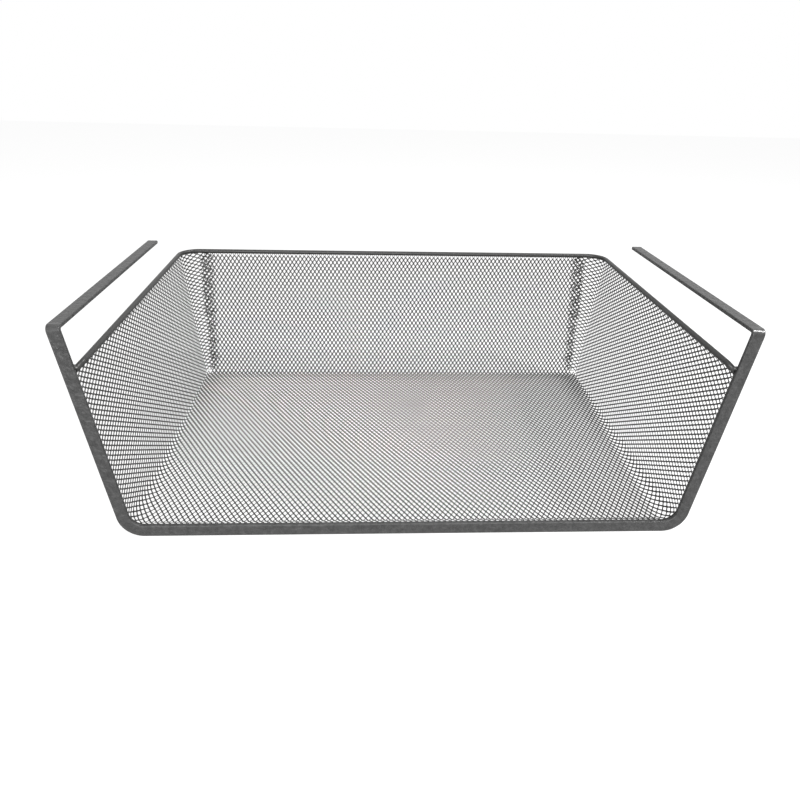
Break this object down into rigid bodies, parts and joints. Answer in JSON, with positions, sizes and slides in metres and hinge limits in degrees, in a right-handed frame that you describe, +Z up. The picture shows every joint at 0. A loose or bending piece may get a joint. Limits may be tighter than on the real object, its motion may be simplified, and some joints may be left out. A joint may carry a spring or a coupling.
{
  "type": "under-shelf basket",
  "caption": "Open-front steel mesh basket that hangs under a shelf: tapered expanded-mesh tray, round border rod and a flat-strip hanger frame with two arms.",
  "frame": {"origin": "bottom centre of the box around the whole basket", "axes": "+X to the right along the open front, +Y from the open front to the back wall, +Z up"},
  "size_m": [0.4168, 0.2675, 0.146],
  "materials": {
    "frame_paint": "satin dark grey metallic paint",
    "rod_paint": "satin dark grey metallic paint",
    "mesh_paint": "satin dark grey metallic paint",
    "weld_paint": "satin dark grey metallic paint"
  },
  "bodies": {
    "root": {"hanger_frame": "frame_paint", "border_rod": "rod_paint", "mesh_floor": "mesh_paint", "mesh_back_wall": "mesh_paint", "mesh_left_wall": "mesh_paint", "mesh_right_wall": "mesh_paint", "corner_lap_left": "mesh_paint", "corner_lap_right": "mesh_paint", "front_hem": "mesh_paint", "weld_bar_1": "weld_paint", "weld_bar_2": "weld_paint", "weld_bar_3": "weld_paint", "weld_upright_left": "weld_paint", "weld_upright_right": "weld_paint", "weld_rim_left": "weld_paint", "weld_rim_right": "weld_paint"}
  },
  "joints": []
}
